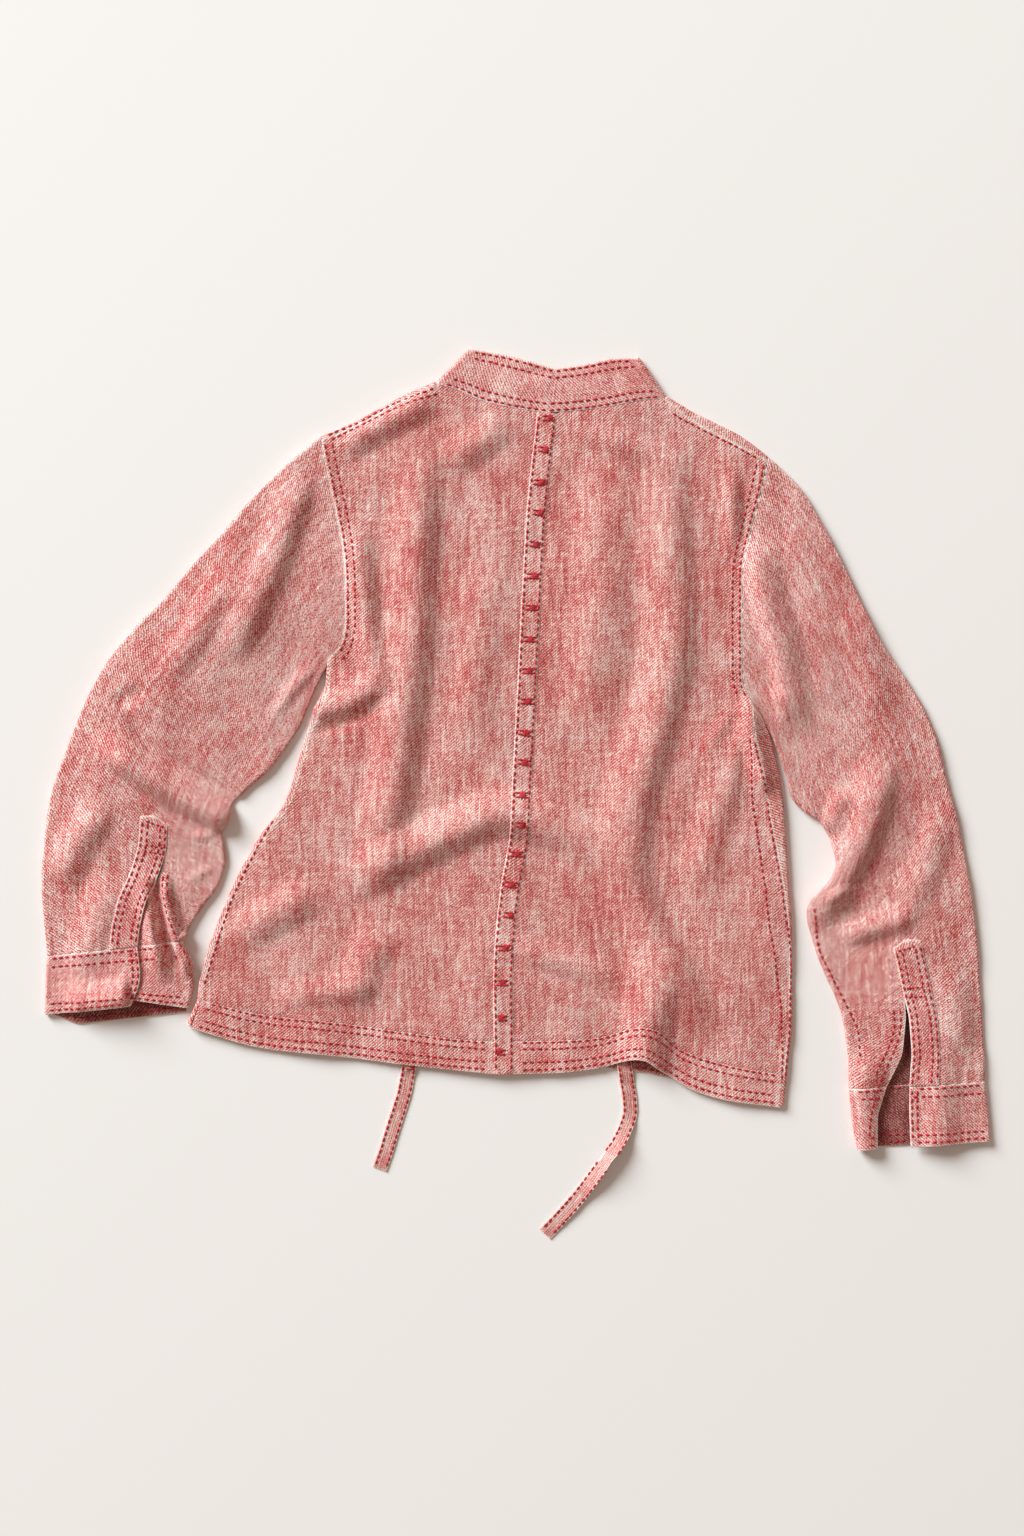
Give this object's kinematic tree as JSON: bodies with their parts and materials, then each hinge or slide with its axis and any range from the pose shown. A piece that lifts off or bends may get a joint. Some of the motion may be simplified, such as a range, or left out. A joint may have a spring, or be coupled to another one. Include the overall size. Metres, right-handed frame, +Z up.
{
  "type": "hip-length jacket with stand collar and ties, laid flat",
  "caption": "Hip-length cotton jacket laid flat, back up: stand collar, set-in sleeves with slit cuffs, felled centre-back strip, turned hem and tape ties.",
  "frame": {"origin": "centre of the jacket's plan box, on the surface it lies on", "axes": "+X to the wearer's right, +Y towards the collar, +Z up off the surface; the back of the jacket faces +Z"},
  "size_m": [0.8704, 0.8192, 0.0157],
  "materials": {
    "cotton": "rose-red and ecru cotton twill, matte, streaked",
    "turned_cotton": "the same twill turned double and pressed, matte",
    "tape": "narrow tape of the same cotton, matte",
    "thread": "dark red sewing thread, slight sheen"
  },
  "bodies": {
    "root": {"back_left": "cotton", "back_right": "cotton", "front_left": "cotton", "front_right": "cotton", "sleeve_left": "cotton", "sleeve_right": "cotton", "back_seam_strip": "turned_cotton", "collar": "turned_cotton", "cuff_left": "turned_cotton", "cuff_right": "turned_cotton", "placket_left": "turned_cotton", "placket_right": "turned_cotton", "hem_back_left": "turned_cotton", "hem_back_right": "turned_cotton", "hem_front_left": "turned_cotton", "hem_front_right": "turned_cotton", "tie_left": "tape", "tie_right": "tape"}
  },
  "joints": []
}
